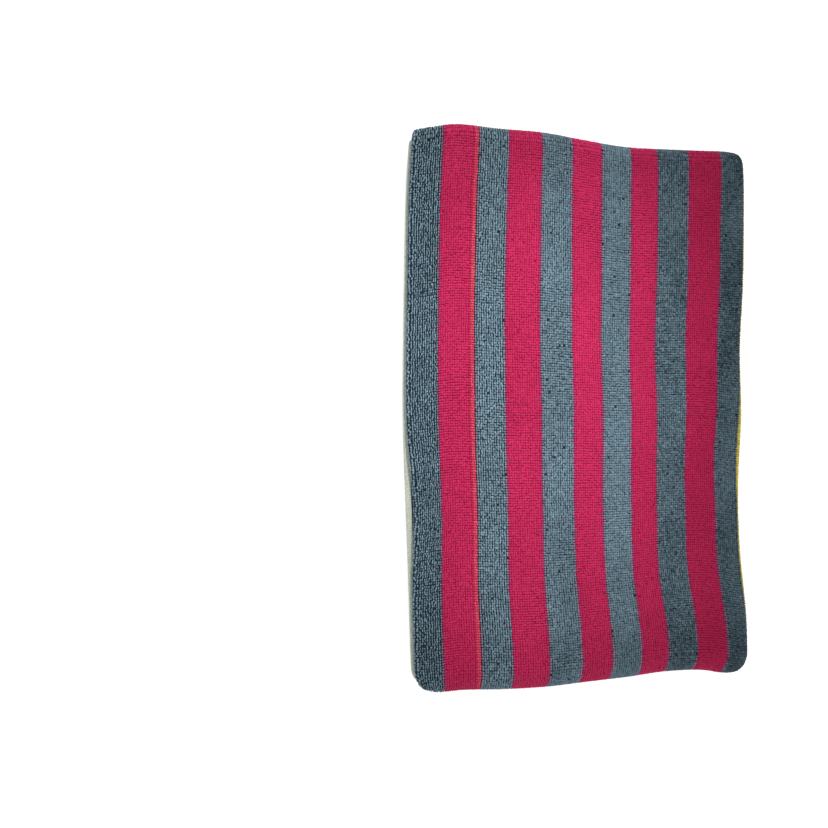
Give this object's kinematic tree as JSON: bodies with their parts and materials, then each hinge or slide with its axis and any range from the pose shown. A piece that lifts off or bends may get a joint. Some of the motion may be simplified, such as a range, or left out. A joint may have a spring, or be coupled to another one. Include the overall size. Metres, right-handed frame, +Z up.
{
  "type": "folded bath towel",
  "caption": "Striped terry bath towel folded in thirds across its width and in quarters along its length, lying flat as a soft packet.",
  "frame": {"origin": "middle of the packet's box, on the surface that it lies on", "axes": "+X across the packet, from the side with the loose selvage to the closed side; +Y along the packet, from the end with the wide fold to the end with the hems; +Z up"},
  "size_m": [0.2642, 0.3918, 0.0437],
  "materials": {
    "terry": "matt cotton terry, slate blue with fuchsia stripes",
    "slate_pile": "matt slate blue cotton loops",
    "fuchsia_pile": "matt fuchsia cotton loops",
    "selvage": "plain woven ecru cotton edge",
    "sewing_thread": "matt cotton sewing thread"
  },
  "bodies": {
    "root": {"bath_towel": "terry"}
  },
  "joints": []
}
